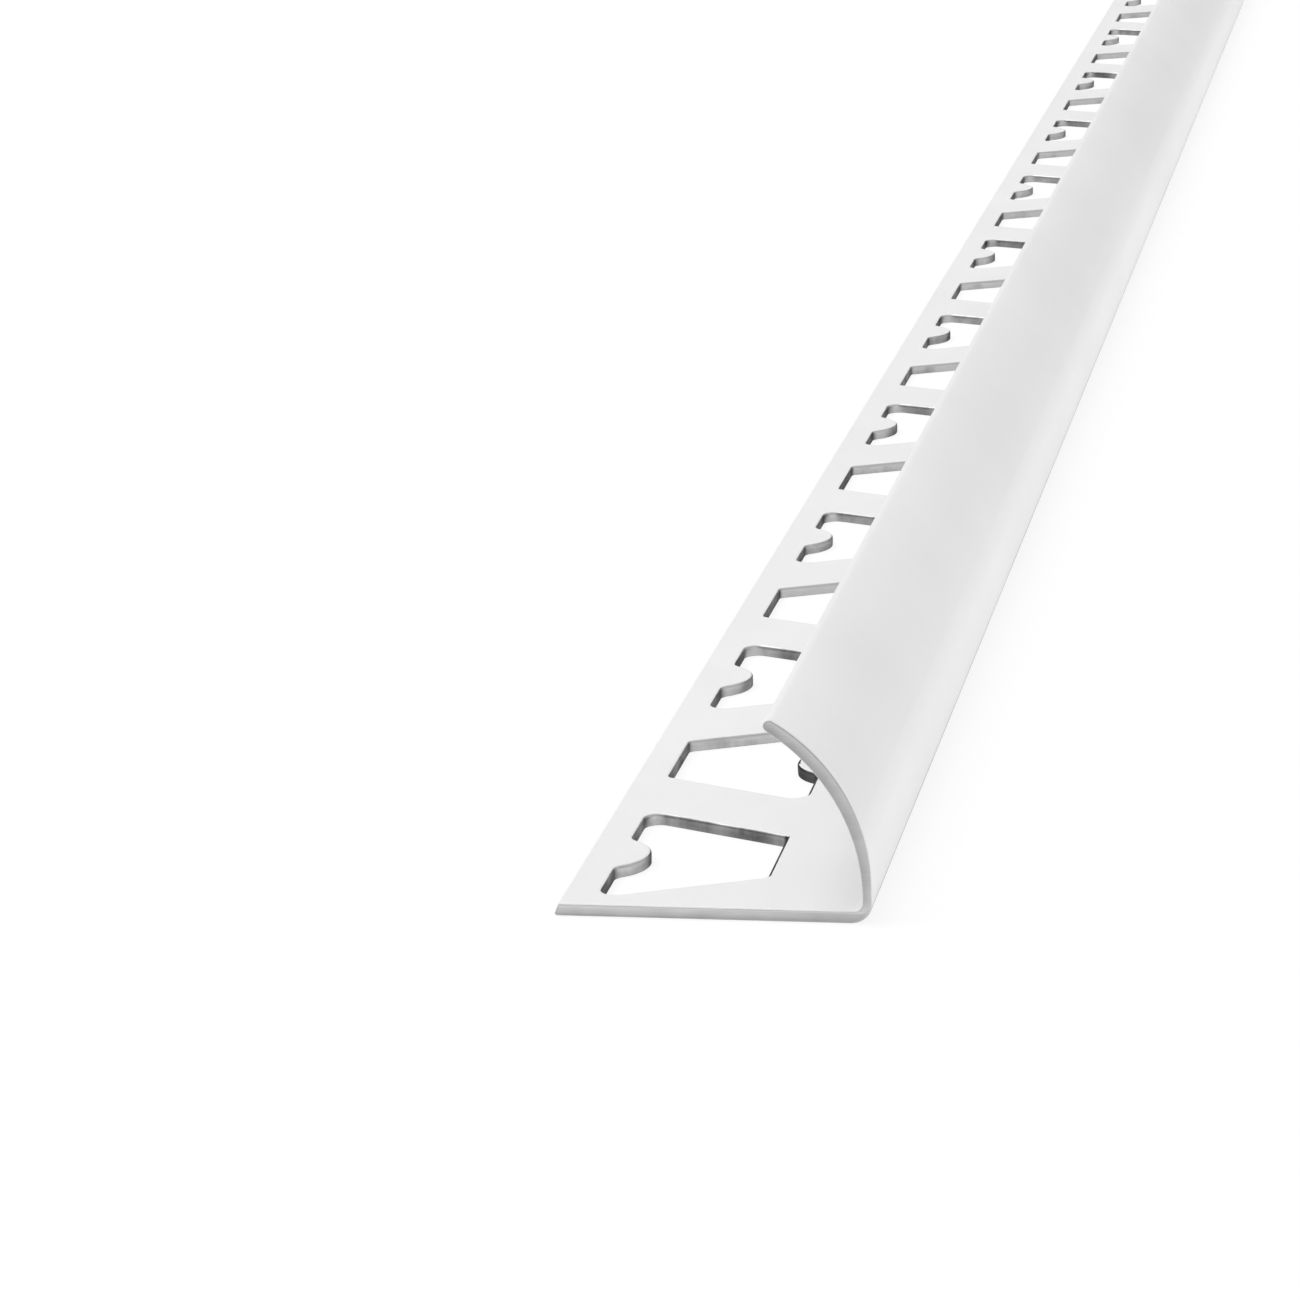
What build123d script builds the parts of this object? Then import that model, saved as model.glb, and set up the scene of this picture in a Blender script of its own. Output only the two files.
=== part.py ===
# Rounded tile edge trim: one extruded section with a punched anchoring leg.
# X runs along the trim from its near end, Y runs across from the lip to the leg's free edge, Z is up.
# The leg lies flat on Z = 0 and the lip's finished face looks towards -Y.

import math
import os

from build123d import *

# Section, in millimetres
TRIM_LENGTH = 1000.0
LEG_WIDTH = 19.2  # from the leg's free edge to the outer face of the lip
TRIM_HEIGHT = 12.5  # from the underside of the leg to the top of the lip
LEG_WALL = 0.8
LIP_RADIUS = 11.6  # curve of the lip's outer face
LIP_FOOT = 2.5  # height at which the lip's outer face starts to curve
LIP_INNER_FOOT = 1.7  # height at which its inner face starts to curve
LIP_FOOT_WALL = 0.6  # the lip thickens from its foot
LIP_TIP_WALL = 0.8  # to its round tip
HEEL_RADIUS = 1.3  # outside corner where leg and lip meet
HEEL_FILLET = 0.5  # inside corner where leg and lip meet
EDGE_RADIUS = 0.15  # broken edges of the leg's free side

# Punched holes: trapezoids that point to one side and then the other, each with a tongue on its long side
HOLE_PITCH = 19.2
FIRST_HOLE = 9.6  # from the near end to the middle of the first hole
HOLE_LONG_SIDE = 16.4
HOLE_SHORT_SIDE = 7.8
HOLE_WIDTH = 9.6  # across the leg
HOLE_MARGIN = 2.4  # from the leg's free edge to the holes
HOLE_CORNER_RADIUS = 0.9  # the two narrow corners, at the ends of the long side
TONGUE_WIDTH = 5.2
TONGUE_DEPTH = 1.7
TONGUE_ROOT_RADIUS = 0.9
END_MARGIN = 1.2  # least metal left between the last hole and the far end

# Places worked out from the sizes above
FREE_EDGE_Y = LEG_WIDTH / 2
LIP_FACE_Y = -LEG_WIDTH / 2
INNER_FACE_Y = LIP_FACE_Y + LIP_FOOT_WALL
HOLE_MIDDLE_Y = FREE_EDGE_Y - HOLE_MARGIN - HOLE_WIDTH / 2
NEAR_END_X = -TRIM_LENGTH / 2
LAST_HOLE_ROOM = TRIM_LENGTH - FIRST_HOLE - HOLE_LONG_SIDE / 2 - END_MARGIN
HOLE_COUNT = int(LAST_HOLE_ROOM // HOLE_PITCH) + 1


def lip_curves():
    """The lip's outer curve, its round tip and its inner curve, each touching the next."""
    tip_radius = LIP_TIP_WALL / 2
    tip_z = TRIM_HEIGHT - tip_radius
    outer_y = LIP_FACE_Y + LIP_RADIUS
    tip_y = outer_y - math.sqrt((LIP_RADIUS - tip_radius) ** 2 - (tip_z - LIP_FOOT) ** 2)
    across = tip_y - INNER_FACE_Y
    rise = tip_z - LIP_INNER_FOOT
    inner_radius = (across**2 + rise**2 - tip_radius**2) / (2 * (across + tip_radius))
    inner_y = INNER_FACE_Y + inner_radius
    outer_end = math.degrees(math.atan2(tip_z - LIP_FOOT, tip_y - outer_y))
    inner_end = math.degrees(math.atan2(tip_z - LIP_INNER_FOOT, tip_y - inner_y))
    outside = CenterArc((outer_y, LIP_FOOT), LIP_RADIUS, 180, outer_end - 180)
    tip = CenterArc((tip_y, tip_z), tip_radius, outer_end, inner_end - 180 - outer_end)
    inside = CenterArc((inner_y, LIP_INNER_FOOT), inner_radius, 180, inner_end - 180)
    return [outside, tip, inside]


def section():
    """The leg and the lip as one closed face in the Y, Z plane."""
    leg = Polyline(
        (INNER_FACE_Y, LIP_INNER_FOOT),
        (INNER_FACE_Y, LEG_WALL),
        (FREE_EDGE_Y, LEG_WALL),
        (FREE_EDGE_Y, 0),
        (LIP_FACE_Y, 0),
        (LIP_FACE_Y, LIP_FOOT),
    )
    face = make_face([*lip_curves(), leg])
    face = rounded(face, [(LIP_FACE_Y, 0)], HEEL_RADIUS)
    face = rounded(face, [(INNER_FACE_Y, LEG_WALL)], HEEL_FILLET)
    return rounded(face, [(FREE_EDGE_Y, 0), (FREE_EDGE_Y, LEG_WALL)], EDGE_RADIUS)


def rounded(face, points, radius):
    """The face with the corners at these points rounded."""
    corners = [v for v in face.vertices() for x, y in points if abs(v.X - x) + abs(v.Y - y) < 1e-6]
    return fillet(corners, radius)


def hole_outline():
    """One hole with its long side and tongue towards the leg's free edge, about its own middle."""
    long_y = HOLE_WIDTH / 2
    short_y = -HOLE_WIDTH / 2
    narrow_corners = [(HOLE_LONG_SIDE / 2, long_y), (-HOLE_LONG_SIDE / 2, long_y)]
    wide_corners = [(HOLE_SHORT_SIDE / 2, short_y), (-HOLE_SHORT_SIDE / 2, short_y)]
    roots = [(-TONGUE_WIDTH / 2, long_y), (TONGUE_WIDTH / 2, long_y)]
    sides = Polyline(roots[1], narrow_corners[0], *wide_corners, narrow_corners[1], roots[0])
    tongue = ThreePointArc(roots[0], (0, long_y - TONGUE_DEPTH), roots[1])
    hole = make_face([sides, tongue])
    hole = rounded(hole, narrow_corners, HOLE_CORNER_RADIUS)
    return rounded(hole, roots, TONGUE_ROOT_RADIUS)


def tile_trim():
    """The extruded section with its row of holes."""
    along = Plane(origin=(NEAR_END_X, 0, 0), x_dir=(0, 1, 0), z_dir=(1, 0, 0))
    blank = extrude(along * section(), TRIM_LENGTH)
    one_hole = hole_outline()
    punches = []
    for number in range(HOLE_COUNT):
        turn = 180 if number % 2 else 0
        x = NEAR_END_X + FIRST_HOLE + number * HOLE_PITCH
        place = Pos(x, HOLE_MIDDLE_Y, -LEG_WALL) * Rot(0, 0, turn)
        punches.append(extrude(place * one_hole, 3 * LEG_WALL))
    return blank - punches


part = tile_trim()
part.label = "tile_trim"
os.makedirs("parts", exist_ok=True)
export_step(part, "parts/tile_trim.step")
print(f"{HOLE_COUNT} holes, volume {part.volume:.0f} mm3, box {part.bounding_box().size}")
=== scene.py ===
# %% [markdown]
# # A rounded tile edge trim
# The real object is a metre of white coated aluminium: a flat leg punched with a row of dovetail
# holes, and a curved lip that finishes the edge of a tile. It is one piece of metal, so this lesson
# makes one closed mesh, gives it three finishes (the coat, the punched walls and the sawn ends) and
# then sets up a floor, some soft light and a camera.
#
# The CAD model is loaded first. It fixes the size of everything that follows, and its box is kept.

import math

import bmesh
import bpy
from mathutils import Matrix, Vector
from mathutils.geometry import tessellate_polygon


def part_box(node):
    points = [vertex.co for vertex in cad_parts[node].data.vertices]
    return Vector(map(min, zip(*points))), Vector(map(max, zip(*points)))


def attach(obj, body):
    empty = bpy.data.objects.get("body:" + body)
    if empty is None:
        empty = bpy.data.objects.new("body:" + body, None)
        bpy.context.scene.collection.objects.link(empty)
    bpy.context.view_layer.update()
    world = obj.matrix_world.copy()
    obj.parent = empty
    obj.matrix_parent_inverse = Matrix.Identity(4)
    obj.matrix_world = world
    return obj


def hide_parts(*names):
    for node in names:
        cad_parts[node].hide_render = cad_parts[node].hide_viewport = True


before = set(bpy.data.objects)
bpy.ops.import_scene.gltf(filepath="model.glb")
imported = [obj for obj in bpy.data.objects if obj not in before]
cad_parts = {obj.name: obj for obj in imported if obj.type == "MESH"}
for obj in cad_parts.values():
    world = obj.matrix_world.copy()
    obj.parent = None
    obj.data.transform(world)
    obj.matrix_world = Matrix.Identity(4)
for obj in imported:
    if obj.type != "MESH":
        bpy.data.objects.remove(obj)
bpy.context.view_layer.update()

# %% [markdown]
# ## The sizes of the section
# Length, width and height are read from the CAD node. The trim lies along X, with its leg flat on the
# floor and its lip towards -Y. What a box can't tell, such as wall thicknesses and radii, is written
# down here once, in metres, with a name for each. The leg's free edge isn't quite upright: it leans in
# towards the top, by an angle in degrees.

# %% Name the sizes
MM = 0.001
low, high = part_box("tile_trim")
HEIGHT = high.z
LEG_WALL = 0.8 * MM
LIP_RADIUS = 11.6 * MM
LIP_FOOT = 2.5 * MM
LIP_INNER_FOOT = 1.7 * MM
LIP_FOOT_WALL = 0.6 * MM
LIP_TIP_WALL = 0.8 * MM
HEEL_RADIUS = 1.3 * MM
HEEL_FILLET = 0.5 * MM
EDGE_RADIUS = 0.15 * MM
EDGE_LEAN = 22.5
print("trim", [round(v / MM, 2) for v in high - low], "mm")

# %% [markdown]
# ## Points along a circle
# An extrusion is one outline dragged along a line. A curve object with a bevel profile could do that
# too, but then the holes would have to be cut with booleans, which leave ragged triangles along the
# rims. So the outline is made of points that we control. Nearly all of it is round, so two helpers are
# enough: one walks along a circle, the other tells in which direction one point lies from another.

# %% Walk along a circle
def arc(centre, radius, start, end, steps):
    """Points along a circle, between two angles in degrees."""
    points = []
    for step in range(steps + 1):
        angle = math.radians(start + (end - start) * step / steps)
        points.append((centre[0] + radius * math.cos(angle), centre[1] + radius * math.sin(angle)))
    return points


def heading(start, end):
    """The direction from one point to another, in degrees."""
    return math.degrees(math.atan2(end[1] - start[1], end[0] - start[0]))


print("half a circle in", len(arc((0.0, 0.0), HEEL_RADIUS, 0, 180, steps=20)), "points")

# %% [markdown]
# ## The curves of the lip
# The lip's outer face is one arc, and its tip is a small round that touches the arc from inside. The
# inner face is a third arc. It starts upright above the heel and has to touch the tip too, and that
# gives its radius. Working it out, instead of guessing, lets the lip thicken evenly from foot to tip.

# %% Find the arcs of the lip
inner_y = low.y + LIP_FOOT_WALL
tip_radius = LIP_TIP_WALL / 2
outer_centre = (low.y + LIP_RADIUS, LIP_FOOT)
tip_z = HEIGHT - tip_radius
tip_y = outer_centre[0] - math.sqrt((LIP_RADIUS - tip_radius) ** 2 - (tip_z - LIP_FOOT) ** 2)
tip_centre = (tip_y, tip_z)
across = tip_y - inner_y
rise = tip_z - LIP_INNER_FOOT
inner_radius = (across**2 + rise**2 - tip_radius**2) / (2 * (across + tip_radius))
inner_centre = (inner_y + inner_radius, LIP_INNER_FOOT)
outer_end = heading(outer_centre, tip_centre)
inner_end = heading(inner_centre, tip_centre)
print("lip radius", round(LIP_RADIUS / MM, 2), "mm outside,", round(inner_radius / MM, 2), "mm inside")

# %% [markdown]
# ## The section as two runs of points
# One run goes from the top of the leg up the inside of the lip, over its tip, down the outside and
# round the heel to the underside. The other goes round the leg's free edge. The flat top and underside
# of the leg lie between the two runs and are filled in later, round the holes.

# %% String the section together
lower_edge = (high.y - EDGE_RADIUS, EDGE_RADIUS)
edge_shift = (LEG_WALL - 2 * EDGE_RADIUS) * math.tan(math.radians(EDGE_LEAN))
upper_edge = (lower_edge[0] - edge_shift, LEG_WALL - EDGE_RADIUS)

lip_side = arc((inner_y + HEEL_FILLET, LEG_WALL + HEEL_FILLET), HEEL_FILLET, 270, 180, steps=8)
lip_side += arc(inner_centre, inner_radius, 180, inner_end, steps=36)
lip_side += arc(tip_centre, tip_radius, inner_end - 180, outer_end, steps=16)[1:]
lip_side += arc(outer_centre, LIP_RADIUS, outer_end, 180, steps=44)[1:]
lip_side += arc((low.y + HEEL_RADIUS, HEEL_RADIUS), HEEL_RADIUS, 180, 270, steps=10)

free_side = arc(lower_edge, EDGE_RADIUS, 270, 360 + EDGE_LEAN, steps=5)
free_side += arc(upper_edge, EDGE_RADIUS, EDGE_LEAN, 90, steps=3)
section = lip_side + free_side
print("section of", len(section), "points, free edge leaning in by", round(edge_shift / MM, 2), "mm")

# %% [markdown]
# ## The sizes of the holes
# A punch leaves a trapezoid with rounded corners and a round tongue of metal that stands into the hole
# from its long side. The narrow corners, at the ends of the long side, are rounder than the wide ones.
# The holes follow each other at a fixed pitch, and every second one is turned round.

# %% Name the sizes of a hole
HOLE_PITCH = 19.2 * MM
FIRST_HOLE = 9.6 * MM
HOLE_LONG_SIDE = 16.4 * MM
HOLE_SHORT_SIDE = 7.8 * MM
HOLE_WIDTH = 9.6 * MM
HOLE_MARGIN = 2.4 * MM
NARROW_CORNER_RADIUS = 0.9 * MM
WIDE_CORNER_RADIUS = 0.5 * MM
TONGUE_WIDTH = 5.2 * MM
TONGUE_DEPTH = 1.7 * MM
ROOT_RADIUS = 0.9 * MM
print("holes", round(HOLE_PITCH / MM, 2), "mm apart")

# %% [markdown]
# ## A rounded corner
# A corner is rounded by an arc that touches both of its sides, so its centre lies on the line that
# halves the angle. Half the angle gives the distances, and a spoke turned about the centre gives the
# points. A bevel on a finished mesh could round the corners too, but each radius would need its own
# weight on the edges.

# %% Round a corner
def rounded_corner(before, corner, after, radius, steps):
    """An arc that takes the place of a corner and touches both of its sides."""
    to_before = (Vector(before) - Vector(corner)).normalized()
    to_after = (Vector(after) - Vector(corner)).normalized()
    half = to_before.angle(to_after) / 2
    centre = Vector(corner) + (to_before + to_after).normalized() * (radius / math.sin(half))
    start = Vector(corner) + to_before * (radius / math.tan(half)) - centre
    end = Vector(corner) + to_after * (radius / math.tan(half)) - centre
    swing = start.angle_signed(end)
    points = []
    for step in range(steps + 1):
        spoke = start.copy()
        spoke.rotate(Matrix.Rotation(-swing * step / steps, 2))
        points.append(tuple(centre + spoke))
    return points


square_corner = rounded_corner((0.0, 1.0), (0.0, 0.0), (1.0, 0.0), radius=0.5, steps=2)
print("a rounded square corner", [[round(v, 2) for v in point] for point in square_corner])

# %% [markdown]
# ## The outline of one hole
# The tongue is an arc through three known points, and a small root arc on each side leads from the
# wall into it. The root touches the wall and the tongue's circle, and two right-angled triangles tell
# where its centre lies. Only the right root is worked out, and the left one is its mirror image. The
# outline then goes on round the four corners.

# %% Draw one hole
def tongue_points(wall_y):
    """The tongue with its two roots, from right to left."""
    radius = (TONGUE_WIDTH**2 / 4 + TONGUE_DEPTH**2) / (2 * TONGUE_DEPTH)
    centre_y = wall_y - TONGUE_DEPTH + radius
    root_y = wall_y - ROOT_RADIUS
    root_x = math.sqrt((radius + ROOT_RADIUS) ** 2 - (centre_y - root_y) ** 2)
    lean = math.degrees(math.atan2(root_x, centre_y - root_y))
    right = arc((root_x, root_y), ROOT_RADIUS, 90, 90 + lean, steps=8)
    nose = arc((0, centre_y), radius, -90 + lean, -90 - lean, steps=16)
    left = [(-x, y) for x, y in reversed(right)]
    return right + nose[1:-1] + left


def hole_outline():
    """One hole about its own middle, with its long side towards +Y."""
    long_y = HOLE_WIDTH / 2
    narrow_left = (-HOLE_LONG_SIDE / 2, long_y)
    narrow_right = (HOLE_LONG_SIDE / 2, long_y)
    wide_left = (-HOLE_SHORT_SIDE / 2, -long_y)
    wide_right = (HOLE_SHORT_SIDE / 2, -long_y)
    points = tongue_points(long_y)
    points += rounded_corner(narrow_right, narrow_left, wide_left, NARROW_CORNER_RADIUS, steps=10)
    points += rounded_corner(narrow_left, wide_left, wide_right, WIDE_CORNER_RADIUS, steps=6)
    points += rounded_corner(wide_left, wide_right, narrow_right, WIDE_CORNER_RADIUS, steps=6)
    points += rounded_corner(wide_right, narrow_right, narrow_left, NARROW_CORNER_RADIUS, steps=10)
    return points


outline = hole_outline()
print("hole of", len(outline), "points")

# %% [markdown]
# ## How a punched edge looks from the side
# Under a punch the metal first sags, which rolls the upper edge over, then it is cut cleanly, and at
# last it breaks away and leaves a slightly wider band below. A bevel modifier would round both edges
# alike. Here the wall is a stack of copies of the outline instead, each one grown by its own amount at
# its own height, so the rolled edge, the clean band and the break all have real shape.

# %% Stack the wall of a hole
ROLL_RADIUS = 0.2 * MM
ROLL_STEP = 18
CLEAN_SHARE = 0.45
BREAK_WIDENING = 0.02 * MM
LOWER_BREAK = 0.03 * MM


def rounded_edge(radius, angle):
    """How far along and how far inwards a rounded edge has come, some degrees round its curve."""
    return radius * math.sin(math.radians(angle)), radius * (1 - math.cos(math.radians(angle)))


wall_stack = []
for angle in range(0, 91, ROLL_STEP):
    along, down = rounded_edge(ROLL_RADIUS, angle)
    wall_stack.append((ROLL_RADIUS - along, LEG_WALL - down))
wall_stack.append((0.0, LEG_WALL * (1 - CLEAN_SHARE)))
wall_stack.append((BREAK_WIDENING, LOWER_BREAK))
wall_stack.append((BREAK_WIDENING + LOWER_BREAK, 0.0))
print("wall of", len(wall_stack), "rings")

# %% [markdown]
# ## Growing an outline
# Scaling an outline would move its far corners more than its near sides. To grow it by the same amount
# everywhere, each point moves along the line that halves its corner, and further where the corner is
# sharper, up to a limit.

# %% Grow an outline
SHARPEST_CORNER = 0.3


def grown(points, amount):
    """The closed outline moved outwards by the same amount everywhere, or inwards by less than 0."""
    moved = []
    for index, point in enumerate(points):
        here = Vector(point)
        back = (here - Vector(points[index - 1])).normalized()
        ahead = (Vector(points[(index + 1) % len(points)]) - here).normalized()
        side = Vector((-back.y - ahead.y, back.x + ahead.x)).normalized()
        squareness = side.dot(Vector((-back.y, back.x)))
        moved.append(tuple(here - side * (amount / max(SHARPEST_CORNER, squareness))))
    return moved


widest = max(x for x, y in grown(outline, ROLL_RADIUS))
print("hole", round(2 * widest / MM, 2), "mm long at its rolled rim")

# %% [markdown]
# ## Laying out the holes
# The trim is cut into cells, one for each hole, with a border halfway between neighbouring holes. The
# row starts at a set distance from the near end and stops where too little metal would be left at the
# far end. The first and last borders stand a little short of the ends, to leave room for their broken
# edges.

# %% Lay out the cells
END_BREAK = 0.14 * MM
LAST_MARGIN = 1.2 * MM
hole_room = high.x - low.x - FIRST_HOLE - HOLE_LONG_SIDE / 2 - LAST_MARGIN
hole_count = int(hole_room / HOLE_PITCH) + 1
hole_middles = [low.x + FIRST_HOLE + HOLE_PITCH * number for number in range(hole_count)]
hole_middle_y = high.y - HOLE_MARGIN - HOLE_WIDTH / 2
borders = [low.x + END_BREAK]
borders += [middle_x + HOLE_PITCH / 2 for middle_x in hole_middles[:-1]]
borders += [high.x - END_BREAK]
print(hole_count, "holes in", len(borders) - 1, "cells")

# %% [markdown]
# ## Joining points into faces
# Two helpers make all the faces. Neighbouring rows of points are joined by a strip of four-sided faces,
# and a flat face with a hole in it is filled with triangles by `tessellate_polygon`. Each face is told
# which of the three finishes it gets.

# %% Join points into faces
COAT, WALL, END = 0, 1, 2
mesh = bmesh.new()


def points_at(x, run):
    """The points of a run of the section, at one place along the trim."""
    return [mesh.verts.new((x, y, z)) for y, z in run]


def strip(row_a, row_b, finish, closed):
    """Four-sided faces between two rows of points."""
    count = len(row_a)
    faces = []
    for index in range(count if closed else count - 1):
        after = (index + 1) % count
        face = mesh.faces.new((row_a[index], row_a[after], row_b[after], row_b[index]))
        face.material_index = finish
        face.smooth = True
        faces.append(face)
    return faces


def filled(loops, finish):
    """Flat triangles inside the first loop of points and outside the others."""
    corners = [vert for loop in loops for vert in loop]
    for triangle in tessellate_polygon([[vert.co for vert in loop] for loop in loops]):
        face = mesh.faces.new([corners[index] for index in triangle])
        face.material_index = finish


print("finishes", COAT, WALL, END)

# %% [markdown]
# ## Punching the holes
# The coat reaches over the first strips of the rolled rim and then lets go, so the rest of the wall is
# bare metal. On the side next to the lip, the rim that looks straight across to the free edge is left
# bare from the start as painted shade: its dark metal stands in for a thin line of shadow along the
# hole. A mask in the material could do that as well, but a face that knows its finish gives a clean
# line at any distance.

# %% Make the wall of a hole
COATED_STRIPS = 2
STRAIGHT_ACROSS = 0.3


def hole_rings(middle_x, turned):
    """The stacked outlines of one hole, from the top of the leg to its underside."""
    way = -1 if turned else 1
    rings = []
    for growth, height in wall_stack:
        ring = [(middle_x + way * x, hole_middle_y + way * y) for x, y in grown(outline, growth)]
        rings.append([mesh.verts.new((x, y, height)) for x, y in ring])
    return rings


def coat_rim(faces):
    """Coats a strip of a hole's rim, but not where it looks straight across to the free edge."""
    for face in faces:
        face.normal_update()
        on_lip_side = face.calc_center_median().y < hole_middle_y
        looks_across = abs(face.normal.xy.normalized().x) < STRAIGHT_ACROSS
        # Left bare here as painted shade, a dark line standing in for shadow along the hole.
        if not (on_lip_side and looks_across):
            face.material_index = COAT


def punched_hole(middle_x, turned):
    """The wall of one hole. Gives back its upper and its lower ring."""
    rings = hole_rings(middle_x, turned)
    for number in range(len(rings) - 1):
        faces = strip(rings[number], rings[number + 1], WALL, closed=True)
        if number < COATED_STRIPS:
            coat_rim(faces)
    return rings[0], rings[-1]


print("coat over", COATED_STRIPS, "of", len(wall_stack) - 1, "strips of a wall")

# %% [markdown]
# ## Building the cells
# In each cell the section's two runs are dragged from one border to the next, the hole's wall is put
# in, and the flat top and underside are filled between the cell's border and the hole. Points that two
# cells share are made twice for now and merged at the end.

# %% Build the cells
def plate(start_x, end_x, near_y, far_y, height, hole_ring):
    """One cell of the leg's top or underside, round its hole."""
    corners = [(start_x, near_y), (end_x, near_y), (end_x, far_y), (start_x, far_y)]
    border = [mesh.verts.new((x, y, height)) for x, y in corners]
    filled([border, hole_ring], COAT)


for number, middle_x in enumerate(hole_middles):
    start_x, end_x = borders[number], borders[number + 1]
    strip(points_at(start_x, lip_side), points_at(end_x, lip_side), COAT, closed=False)
    strip(points_at(start_x, free_side), points_at(end_x, free_side), COAT, closed=False)
    upper_ring, lower_ring = punched_hole(middle_x, turned=number % 2 == 1)
    plate(start_x, end_x, lip_side[0][0], free_side[-1][0], LEG_WALL, upper_ring)
    plate(start_x, end_x, lip_side[-1][0], free_side[0][0], 0.0, lower_ring)
print(len(mesh.faces), "faces before the ends")

# %% [markdown]
# ## Painted light on the sawn ends
# A sawn face is given painted light and shade: lightest along the rims that face up, towards the
# light, darkest along the lower rim by the floor, and darker up the lip than on the leg. Each point of
# the section gets a value for that, worked out from the way its rim faces, and the material reads it
# back as an attribute. Along the free edge the value simply grows with the height, because the
# triangles of the sawn face reach from there right across the leg, and blend evenly only between
# values that rise evenly.

# %% Give each point of the rim its painted light
# Painted light and shade on the sawn ends: lighter where a rim faces up, darker down by the floor and
# up the lip.
END_LIGHT_WAY = Vector((-0.3, 0.95))
LIP_DARKER = 0.5
FREE_EDGE_DARKER = 0.2
NUDGE = 0.01 * MM

rim_values = []
for point, nudged in zip(lip_side, grown(section, NUDGE)):
    outward = (Vector(nudged) - Vector(point)).normalized()
    up_the_lip = min(max(point[1] / LEG_WALL - 1, 0), 1)
    rim_values.append((0.5 + 0.5 * outward.dot(END_LIGHT_WAY)) * (1 - LIP_DARKER * up_the_lip))
for y, z in free_side:
    rim_values.append((1 - FREE_EDGE_DARKER) * z / LEG_WALL)
print("burnish from", round(min(rim_values), 2), "to", round(max(rim_values), 2))

# %% [markdown]
# ## The sawn ends
# A sawn end has a narrow broken edge. It could be a bevel, but the section is at hand, so the outline
# is drawn in step by step instead as it nears the end, along a quarter of a circle. The coat reaches
# a little over halfway round that edge, and the sawn metal starts there. The last outline is filled.

# %% Close the sawn ends
BREAK_STEPS = ((25, COAT), (50, COAT), (70, END), (90, END))
end_painted_light = mesh.verts.layers.float.new("end_painted_light")


def sawn_end(ring_x, way):
    """The broken edge and the flat face of one end."""
    ring = points_at(ring_x, section)
    for angle, finish in BREAK_STEPS:
        along, inset = rounded_edge(END_BREAK, angle)
        next_ring = points_at(ring_x + way * along, grown(section, -inset))
        strip(ring, next_ring, finish, closed=True)
        ring = next_ring
        for vert, value in zip(ring, rim_values):
            vert[end_painted_light] = value
    filled([ring], END)


sawn_end(borders[0], way=-1)
sawn_end(borders[-1], way=1)
print(len(mesh.faces), "faces with the ends")

# %% [markdown]
# ## Closing the mesh
# Merging the double points closes the mesh, and no open edge may be left. Smooth shading makes the
# curves round, so edges where the faces meet at a steeper angle are marked as sharp.

# %% Merge points and mark sharp edges
MERGE_DISTANCE = 0.001 * MM
SHARP_ANGLE = math.radians(32)
bmesh.ops.remove_doubles(mesh, verts=mesh.verts, dist=MERGE_DISTANCE)
bmesh.ops.recalc_face_normals(mesh, faces=mesh.faces)
for edge in mesh.edges:
    edge.smooth = edge.is_manifold and edge.calc_face_angle() < SHARP_ANGLE
open_edges = sum(not edge.is_manifold for edge in mesh.edges)
volume = round(mesh.calc_volume() / MM**3)
print(len(mesh.faces), "faces,", open_edges, "open edges, volume", volume, "mm3")

# %% [markdown]
# ## The piece
# The new mesh stands in for the CAD node, which stays behind for collision. It rides on the part's
# only body.

# %% Make the object
trim_mesh = bpy.data.meshes.new("coated_trim")
mesh.to_mesh(trim_mesh)
mesh.free()
trim = bpy.data.objects.new("coated_trim", trim_mesh)
bpy.context.scene.collection.objects.link(trim)
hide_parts("tile_trim")
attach(trim, "root")
print("piece", trim.name, "with", len(trim_mesh.vertices), "points")

# %% [markdown]
# ## Lines that the finishes share
# Three effects come back in more than one finish, so each is a node group, made once and placed with
# its own values. All three put out plain values, and each material decides what to do with them.
#
# The first makes lines. Drawing, punching and sawing all leave fine ones, each in its own direction,
# and a noise that is stretched along that direction looks like them: few per metre along it, many
# across.

# %% Drag lines
def new_group(name, inputs, output):
    """A shader node group with one output value."""
    group = bpy.data.node_groups.new(name, "ShaderNodeTree")
    for socket_name, socket_type, default in inputs:
        socket = group.interface.new_socket(socket_name, in_out="INPUT", socket_type=socket_type)
        socket.default_value = default
    group.interface.new_socket(output, in_out="OUTPUT", socket_type="NodeSocketFloat")
    return group, group.nodes.new("NodeGroupInput"), group.nodes.new("NodeGroupOutput")


drag_lines, lines_in, lines_out = new_group(
    "drag_lines", [("Lines Per Metre", "NodeSocketVector", (100.0, 5000.0, 5000.0))], "Lines"
)
lines_place = drag_lines.nodes.new("ShaderNodeTexCoord")
stretch = drag_lines.nodes.new("ShaderNodeVectorMath")
stretch.operation = "MULTIPLY"
lines_noise = drag_lines.nodes.new("ShaderNodeTexNoise")
lines_noise.inputs["Scale"].default_value = 1.0
lines_noise.inputs["Detail"].default_value = 3.0
drag_lines.links.new(lines_place.outputs["Object"], stretch.inputs[0])
drag_lines.links.new(lines_in.outputs["Lines Per Metre"], stretch.inputs[1])
drag_lines.links.new(stretch.outputs["Vector"], lines_noise.inputs["Vector"])
drag_lines.links.new(lines_noise.outputs["Fac"], lines_out.inputs["Lines"])
print("group", drag_lines.name)

# %% [markdown]
# ## Cloudiness
# Every real surface is slowly uneven, in colour, gloss or height. A plain noise does that. Its values
# crowd about the middle, so they are spread out between a least and a most that each material sets.

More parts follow.
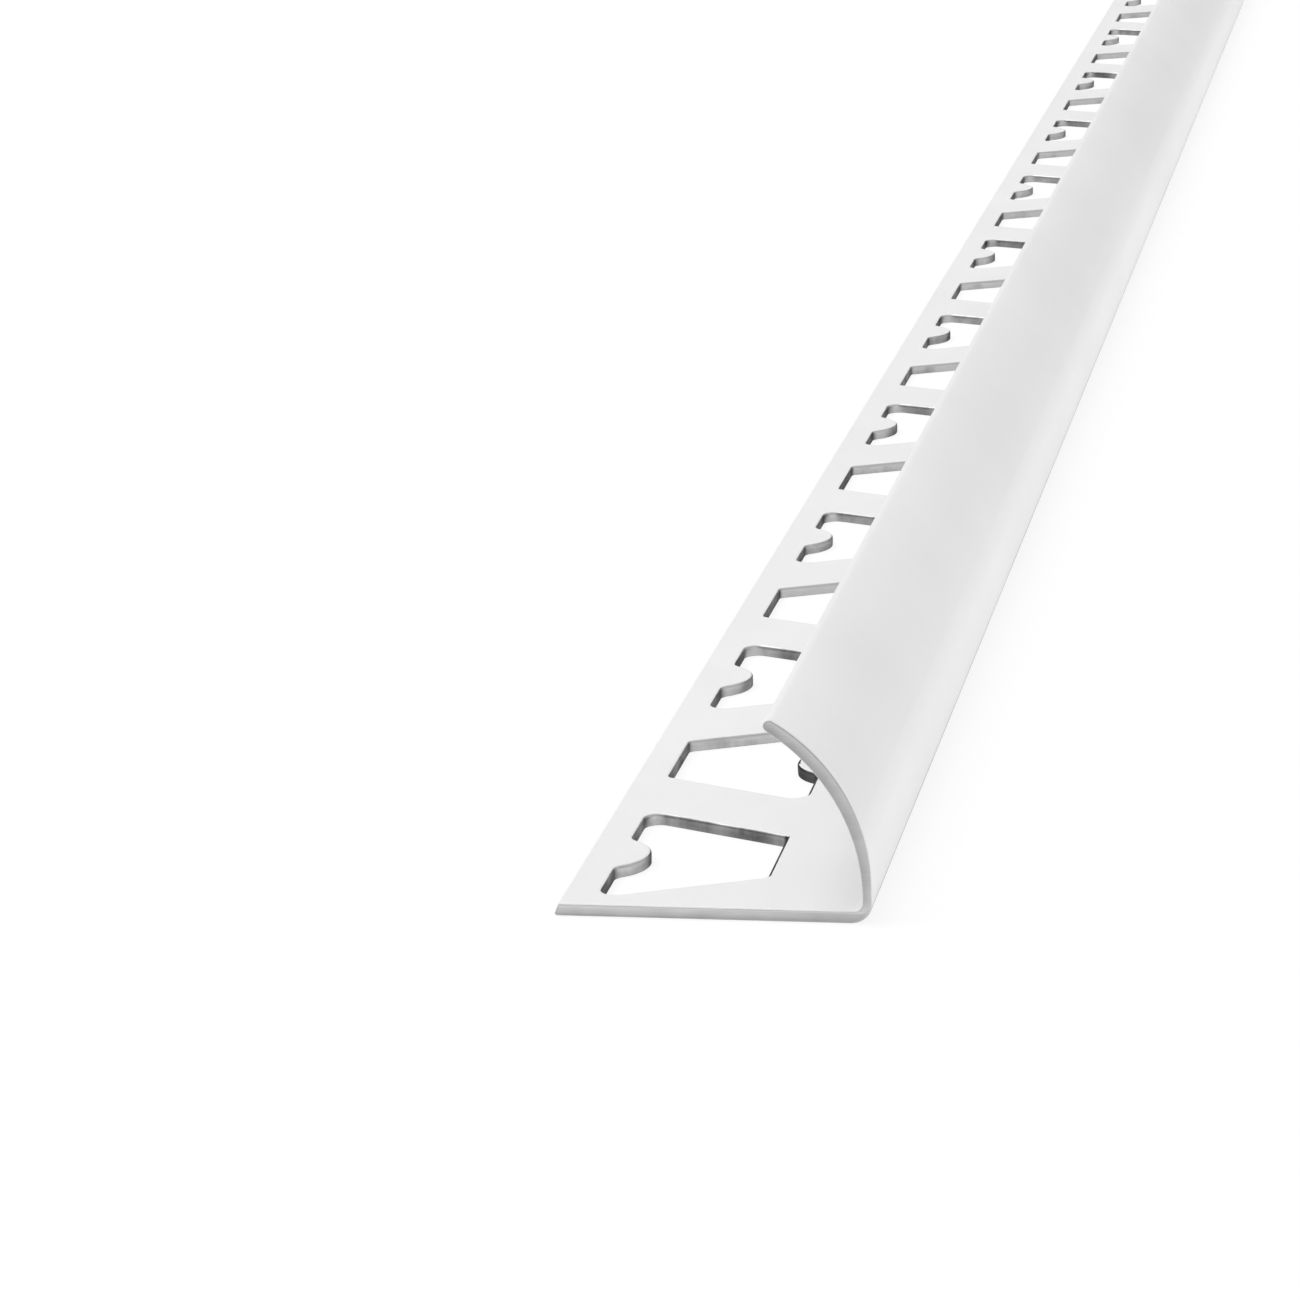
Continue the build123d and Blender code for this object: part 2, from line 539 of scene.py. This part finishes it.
# %% Cloudiness
cloudiness, clouds_in, clouds_out = new_group(
    "cloudiness",
    [
        ("Clouds Per Metre", "NodeSocketFloat", 50.0),
        ("Least", "NodeSocketFloat", 0.0),
        ("Most", "NodeSocketFloat", 1.0),
    ],
    "Value",
)
clouds_place = cloudiness.nodes.new("ShaderNodeTexCoord")
clouds_noise = cloudiness.nodes.new("ShaderNodeTexNoise")
clouds_noise.inputs["Detail"].default_value = 4.0
spread = cloudiness.nodes.new("ShaderNodeMapRange")
spread.inputs["From Min"].default_value = 0.3
spread.inputs["From Max"].default_value = 0.7
cloudiness.links.new(clouds_place.outputs["Object"], clouds_noise.inputs["Vector"])
cloudiness.links.new(clouds_in.outputs["Clouds Per Metre"], clouds_noise.inputs["Scale"])
cloudiness.links.new(clouds_noise.outputs["Fac"], spread.inputs["Value"])
cloudiness.links.new(clouds_in.outputs["Least"], spread.inputs["To Min"])
cloudiness.links.new(clouds_in.outputs["Most"], spread.inputs["To Max"])
cloudiness.links.new(spread.outputs["Result"], clouds_out.inputs["Value"])
print("group", cloudiness.name)

# %% [markdown]
# ## Facing
# The coat and the punched walls are given painted light and shade by the way their surface faces. This
# group tells how squarely the surface faces a given way: 1 straight that way, 0 side on and -1 the
# opposite way. It goes by the surface alone, so it stays put from wherever the trim is seen.

# %% Facing
facing, facing_in, facing_out = new_group(
    "facing", [("Way", "NodeSocketVector", (0.0, 0.0, 1.0))], "Facing"
)
surface_way = facing.nodes.new("ShaderNodeTexCoord")
compare = facing.nodes.new("ShaderNodeVectorMath")
compare.operation = "DOT_PRODUCT"
facing.links.new(surface_way.outputs["Normal"], compare.inputs[0])
facing.links.new(facing_in.outputs["Way"], compare.inputs[1])
facing.links.new(compare.outputs["Value"], facing_out.inputs["Facing"])
print("group", facing.name)

# %% [markdown]
# ## Helpers for the materials
# Each node takes three or four lines to add, set and link. A few helpers do that in one line, so that
# the cells of the materials read as recipes: what is placed, what it is mixed with and what it feeds.

# %% Start a material and place groups in it
def new_material(name):
    """A material, its node tree and its Principled shader."""
    material = bpy.data.materials.new(name)
    material.use_nodes = True
    tree = material.node_tree
    return material, tree, tree.nodes["Principled BSDF"]


def placed(tree, group, **values):
    """The output of a node group with its inputs set. Underscores stand for spaces."""
    node = tree.nodes.new("ShaderNodeGroup")
    node.node_tree = group
    for name, value in values.items():
        node.inputs[name.replace("_", " ")].default_value = value
    return node.outputs[0]


def colour_ramp(tree, value, *stops):
    """Greys that follow a value: each stop is a place and a grey."""
    ramp = tree.nodes.new("ShaderNodeValToRGB")
    while len(ramp.color_ramp.elements) < len(stops):
        ramp.color_ramp.elements.new(1.0)
    for element, (position, grey) in zip(ramp.color_ramp.elements, stops):
        element.position = position
        element.color = (grey, grey, grey, 1.0)
    tree.links.new(value, ramp.inputs["Fac"])
    return ramp.outputs["Color"]


print("helpers", new_material.__name__, placed.__name__, colour_ramp.__name__)

# %% [markdown]
# ## Helpers for values
# The values from the groups are added, multiplied and limited before they reach a shader. Where one
# of them stands for a height, a bump turns it into fine relief that needs no faces.

# %% Calculate with values and make bumps
def calculated(tree, operation, *values):
    """A Math node on some values, each a socket or a number."""
    node = tree.nodes.new("ShaderNodeMath")
    node.operation = operation
    for slot, value in zip(node.inputs, values):
        if isinstance(value, float):
            slot.default_value = value
        else:
            tree.links.new(value, slot)
    return node.outputs["Value"]


def share(tree, value, start, end):
    """How far a value has come from one number to another, from 0 to 1."""
    node = tree.nodes.new("ShaderNodeMapRange")
    node.inputs["From Min"].default_value = start
    node.inputs["From Max"].default_value = end
    tree.links.new(value, node.inputs["Value"])
    return node.outputs["Result"]


def height_of(tree, vector):
    """The Z of a vector."""
    node = tree.nodes.new("ShaderNodeSeparateXYZ")
    tree.links.new(vector, node.inputs["Vector"])
    return node.outputs["Z"]


def bump(tree, height, strength, distance, below=None):
    """A bump from a height, on top of another bump where there is one."""
    node = tree.nodes.new("ShaderNodeBump")
    node.inputs["Strength"].default_value = strength
    node.inputs["Distance"].default_value = distance
    tree.links.new(height, node.inputs["Height"])
    if below is not None:
        tree.links.new(below, node.inputs["Normal"])
    return node.outputs["Normal"]


print("helpers", calculated.__name__, share.__name__, height_of.__name__, bump.__name__)

# %% [markdown]
# ## The white of the coat
# The coat is a baked powder paint in a clean neutral white. On the upright foot of the lip it gets a
# painted highlight and is whitest. Round the heel, where the trim turns under towards the floor, it
# gets painted shade and greys. Both are found by the way the surface faces, which is the same along
# the whole trim, so nothing has to be painted by hand. The two edges of each share say where the
# change starts and where it is complete.

# %% Coat colour
# Painted shade round the heel and a painted highlight on the lip's foot, chosen by the way the surface
# faces.
HEEL_WAY = (0.0, -0.7, -0.7)
HEEL_EDGES = (0.71, 0.82)
HEEL_PAINTED_SHADE = -0.8
FOOT_WAY = (0.0, -0.985, -0.174)
FOOT_EDGES = (0.875, 0.94)
FOOT_PAINTED_HIGHLIGHT = 0.4
COAT_WHITES = ((0.0, 0.45), (0.4, 0.80), (0.5, 0.83), (0.8, 0.855), (0.9, 0.885))

coat, tree, shader = new_material("white_coat")
foot_highlight_share = share(tree, placed(tree, facing, Way=FOOT_WAY), *FOOT_EDGES)
heel_shade_share = share(tree, placed(tree, facing, Way=HEEL_WAY), *HEEL_EDGES)
coat_tone_and_painted_light = placed(tree, cloudiness, Clouds_Per_Metre=60.0, Least=0.4, Most=0.5)
coat_tone_and_painted_light = calculated(tree, "MULTIPLY_ADD", foot_highlight_share, FOOT_PAINTED_HIGHLIGHT, coat_tone_and_painted_light)
coat_tone_and_painted_light = calculated(tree, "MULTIPLY_ADD", heel_shade_share, HEEL_PAINTED_SHADE, coat_tone_and_painted_light)
tree.links.new(colour_ramp(tree, coat_tone_and_painted_light, *COAT_WHITES), shader.inputs["Base Color"])
trim_mesh.materials.append(coat)
print("coat greys", [grey for position, grey in COAT_WHITES])

# %% [markdown]
# ## The skin of the coat
# The paint has a satin gloss, a skin that is slightly uneven like orange peel, and under it the faint
# lines that the extrusion die drew along the metal. The lines run along X, so there are few of them
# in a metre of X and many in a metre of Y or Z. Modelling all this would take millions of faces, so
# the lines are one bump and the peel is a second one on top.

# %% Coat gloss and skin
SKIN_STRENGTH = 0.1
SKIN_DEPTH = 0.004 * MM

gloss = placed(tree, cloudiness, Clouds_Per_Metre=220.0, Least=0.46, Most=0.54)
tree.links.new(gloss, shader.inputs["Roughness"])
die_lines = placed(tree, drag_lines, Lines_Per_Metre=(15.0, 2500.0, 2500.0))
drawn = bump(tree, die_lines, SKIN_STRENGTH, SKIN_DEPTH)
peel = placed(tree, cloudiness, Clouds_Per_Metre=1400.0)
skin = bump(tree, peel, SKIN_STRENGTH, SKIN_DEPTH, below=drawn)
tree.links.new(skin, shader.inputs["Normal"])
print("coat skin", round(SKIN_DEPTH / MM, 4), "mm deep")

# %% [markdown]
# ## The greys of the punched walls
# Inside the holes the metal is bare, with cloudy patches and fine upright lines, the way the punch
# went. Its grey also carries painted light and shade: walls that face along the trim are painted
# brighter than those that face across it, the rolled rim gets a painted highlight as it turns up
# towards the coat, and where it faces the free edge it gets painted shade and shows dark. Painting
# each wall would be endless, so the way a wall faces decides its grey here too.

# %% Punched metal colour
# Painted light and shade on the walls: lighter facing along the trim and facing up, darker where the
# rim faces the free edge.
WALL_LIGHT_WAY = (-0.93, -0.37, 0.0)
UP = (0.0, 0.0, 1.0)
FREE_EDGE_WAY = (0.0, 1.0, 0.0)
RIM_PAINTED_HIGHLIGHT = 0.5
RIM_PAINTED_SHADE = -0.8
WALL_CONTRAST = 0.8
LINE_CONTRAST = 0.12
PUNCHED_GREYS = ((0.1, 0.08), (0.36, 0.12), (0.62, 0.36), (0.86, 0.62))

punched, tree, shader = new_material("punched_metal")
shader.inputs["Metallic"].default_value = 1.0
shader.inputs["Specular Tint"].default_value = (0.6, 0.6, 0.6, 1.0)
painted_light_along_trim = calculated(tree, "ABSOLUTE", placed(tree, facing, Way=WALL_LIGHT_WAY))
painted_shade_toward_free_edge = calculated(tree, "MAXIMUM", placed(tree, facing, Way=FREE_EDGE_WAY), 0.0)
rim_painted_light_and_shade = calculated(tree, "MULTIPLY_ADD", painted_shade_toward_free_edge, RIM_PAINTED_SHADE, RIM_PAINTED_HIGHLIGHT)
wall_tone_and_painted_light = calculated(tree, "MULTIPLY_ADD", placed(tree, facing, Way=UP), rim_painted_light_and_shade, painted_light_along_trim)
patches = placed(tree, cloudiness, Clouds_Per_Metre=300.0, Least=-0.22, Most=0.22)
wall_tone_and_painted_light = calculated(tree, "MULTIPLY_ADD", wall_tone_and_painted_light, WALL_CONTRAST, patches)
upright_lines = placed(tree, drag_lines, Lines_Per_Metre=(2500.0, 2500.0, 400.0))
wall_tone_and_painted_light = calculated(tree, "MULTIPLY_ADD", upright_lines, LINE_CONTRAST, wall_tone_and_painted_light)
tree.links.new(colour_ramp(tree, wall_tone_and_painted_light, *PUNCHED_GREYS), shader.inputs["Base Color"])
trim_mesh.materials.append(punched)
print("punched greys", [grey for position, grey in PUNCHED_GREYS])

# %% [markdown]
# ## The clean band and the break
# The upper band of a punched wall was cut cleanly and is burnished. The lower band broke away and is
# rougher, and the line between the two wanders. The height above the floor decides which is which,
# with a little cloudiness added to it to make the line wander.

# %% Punched metal roughness
BREAK_TOP = LEG_WALL * 0.4
CLEAN_BOTTOM = LEG_WALL * 0.7
WANDER = 0.12 * MM
PUNCHED_ROUGHNESS = ((0.0, 0.6), (1.0, 0.4))

wall_place = tree.nodes.new("ShaderNodeTexCoord")
wander = placed(tree, cloudiness, Clouds_Per_Metre=900.0, Least=-WANDER, Most=WANDER)
wall_height = calculated(tree, "ADD", height_of(tree, wall_place.outputs["Object"]), wander)
clean = share(tree, wall_height, BREAK_TOP, CLEAN_BOTTOM)
tree.links.new(colour_ramp(tree, clean, *PUNCHED_ROUGHNESS), shader.inputs["Roughness"])
scored = bump(tree, upright_lines, strength=0.4, distance=0.02 * MM)
tree.links.new(scored, shader.inputs["Normal"])
print("clean band above", round(CLEAN_BOTTOM / MM, 2), "mm")

# %% [markdown]
# ## The sawn metal
# A saw leaves a duller face than a clean punch, with fine lines where its teeth ran across, along Y.
# The painted light that the points of the sawn ends carry makes the metal lighter towards the upper
# rims and darker towards the floor and up the lip, and a little cloudiness in the gloss keeps the face
# from being too even.

# %% Sawn metal
SAW_LINE_CONTRAST = 0.2
SAWN_GREYS = ((0.0, 0.38), (0.5, 0.62), (1.0, 0.84))

sawn, tree, shader = new_material("sawn_metal")
shader.inputs["Metallic"].default_value = 1.0
# This attribute carries the painted light and shade of the sawn ends.
painted_light_reader = tree.nodes.new("ShaderNodeAttribute")
painted_light_reader.attribute_name = "end_painted_light"
saw_lines = placed(tree, drag_lines, Lines_Per_Metre=(1000.0, 300.0, 6000.0))
sawn_tone = calculated(tree, "MULTIPLY_ADD", saw_lines, SAW_LINE_CONTRAST, painted_light_reader.outputs["Fac"])
tree.links.new(colour_ramp(tree, sawn_tone, *SAWN_GREYS), shader.inputs["Base Color"])
dullness = placed(tree, cloudiness, Clouds_Per_Metre=700.0, Least=0.42, Most=0.58)
tree.links.new(dullness, shader.inputs["Roughness"])
scratched = bump(tree, saw_lines, strength=0.15, distance=0.01 * MM)
tree.links.new(scratched, shader.inputs["Normal"])
trim_mesh.materials.append(sawn)
print("materials", [material.name for material in trim_mesh.materials])

# %% [markdown]
# ## The floor
# The floor is one large flat square at the height of the leg's underside.

# %% Floor
FLOOR_SIZE = 24.0
floor_grid = bmesh.new()
bmesh.ops.create_grid(floor_grid, x_segments=1, y_segments=1, size=FLOOR_SIZE / 2)
floor_mesh = bpy.data.meshes.new("floor")
floor_grid.to_mesh(floor_mesh)
floor_grid.free()
floor = bpy.data.objects.new("floor", floor_mesh)
floor.location.z = low.z
bpy.context.scene.collection.objects.link(floor)
print("floor", FLOOR_SIZE, "m wide")

# %% [markdown]
# ## A white that doesn't flood the trim
# Product pictures stand on white. Lighting a floor until it burns out would also burn out the white
# trim, so the floor is told apart by who looks at it: the light that falls on the trim meets a pale
# grey, while the camera and mirror reflections meet white. Part of that white still takes light, so
# the trim keeps a soft shadow.

# %% Floor material
FLOOR_GREY = 0.9
SHADOW_SHARE = 0.15


def matt(tree, grey):
    """A matt grey surface."""
    node = tree.nodes.new("ShaderNodeBsdfDiffuse")
    node.inputs["Color"].default_value = (grey, grey, grey, 1.0)
    return node.outputs["BSDF"]


floor_white = bpy.data.materials.new("floor_white")
floor_white.use_nodes = True
tree = floor_white.node_tree
tree.nodes.clear()
glowing = tree.nodes.new("ShaderNodeEmission")
white = tree.nodes.new("ShaderNodeMixShader")
white.inputs["Fac"].default_value = 1.0 - SHADOW_SHARE
tree.links.new(matt(tree, 1.0), white.inputs[1])
tree.links.new(glowing.outputs["Emission"], white.inputs[2])
rays = tree.nodes.new("ShaderNodeLightPath").outputs
seen = calculated(tree, "MAXIMUM", rays["Is Camera Ray"], rays["Is Glossy Ray"])
seen = calculated(tree, "MAXIMUM", seen, rays["Is Transmission Ray"])
choice = tree.nodes.new("ShaderNodeMixShader")
tree.links.new(seen, choice.inputs["Fac"])
tree.links.new(matt(tree, FLOOR_GREY), choice.inputs[1])
tree.links.new(white.outputs["Shader"], choice.inputs[2])
surface = tree.nodes.new("ShaderNodeOutputMaterial")
tree.links.new(choice.outputs["Shader"], surface.inputs["Surface"])
floor_mesh.materials.append(floor_white)
print("floor keeps", SHADOW_SHARE, "of its white for shadows")

# %% [markdown]
# ## The room
# The world is a soft room: darker at the horizon and brighter overhead. The dark horizon matters,
# because the lip mirrors it, and that gives the satin white its shape. An even white world would leave
# the curve flat.

# %% World
HORIZON = 0.12
ZENITH = 0.96
world = bpy.data.worlds.new("soft_room")
bpy.context.scene.world = world
world.use_nodes = True
tree = world.node_tree
direction = tree.nodes.new("ShaderNodeTexCoord")
elevation = height_of(tree, direction.outputs["Generated"])
sky = colour_ramp(tree, elevation, (0.0, HORIZON), (1.0, ZENITH))
tree.links.new(sky, tree.nodes["Background"].inputs["Color"])
print("world from", HORIZON, "to", ZENITH)

# %% [markdown]
# ## The lamps
# One large lamp stands above on the leg's side and gives the leg its brightness without flooding the
# lip, and a weaker one beside the trim lifts the lip's outer face. Both are area lamps, because large
# lamps make soft shadows, and both aim at a spot a little way along the trim.

# %% Lamps
near_end = Vector((low.x, 0.0, 0.0))
lit_spot = near_end + Vector((0.3, 0.0, 0.0))
LEG_LAMP_OFFSET = Vector((0.1, 1.3, 2.0))
LEG_LAMP_SIZE = 2.0
LEG_LAMP_WATTS = 34.5
LIP_LAMP_OFFSET = Vector((0.0, -2.0, 0.25))
LIP_LAMP_SIZE = 0.4
LIP_LAMP_WATTS = 11.0


def soft_lamp(name, offset, size, watts):
    """A square area lamp that faces the lit spot."""
    lamp = bpy.data.lights.new(name, "AREA")
    lamp.size = size
    lamp.energy = watts
    holder = bpy.data.objects.new(name, lamp)
    holder.location = lit_spot + offset
    holder.rotation_euler = (-offset).to_track_quat("-Z", "Y").to_euler()
    bpy.context.scene.collection.objects.link(holder)


soft_lamp("over_the_leg", LEG_LAMP_OFFSET, LEG_LAMP_SIZE, LEG_LAMP_WATTS)
soft_lamp("beside_the_lip", LIP_LAMP_OFFSET, LIP_LAMP_SIZE, LIP_LAMP_WATTS)
print("lamps", [lamp.name for lamp in bpy.data.lights])

# %% [markdown]
# ## The camera
# The picture was taken from close to the near end with a long lens, a little to the right of the
# trim and only slightly above it, so the row of holes runs away to the upper right. The camera is
# placed by its distances from that end and then turned: a heading along the trim, a tilt down and a
# small roll.

# %% Camera
LENS = 120.165
CAMERA_PLACE = near_end + Vector((-238.951, -44.707, 86.724)) * MM
HEADING = 11.319
TILT_DOWN = 16.044
ROLL = -2.285
camera = bpy.data.objects.new("camera", bpy.data.cameras.new("camera"))
camera.data.lens = LENS
camera.data.clip_start = 1 * MM
turned = Matrix.Rotation(math.radians(HEADING - 90), 4, "Z")
tilted = Matrix.Rotation(math.radians(90 - TILT_DOWN), 4, "X")
rolled = Matrix.Rotation(math.radians(ROLL), 4, "Z")
camera.matrix_world = Matrix.Translation(CAMERA_PLACE) @ turned @ tilted @ rolled
bpy.context.scene.collection.objects.link(camera)
bpy.context.scene.camera = camera
bpy.context.scene.view_settings.view_transform = "Standard"
print("camera", [round(v, 3) for v in CAMERA_PLACE])
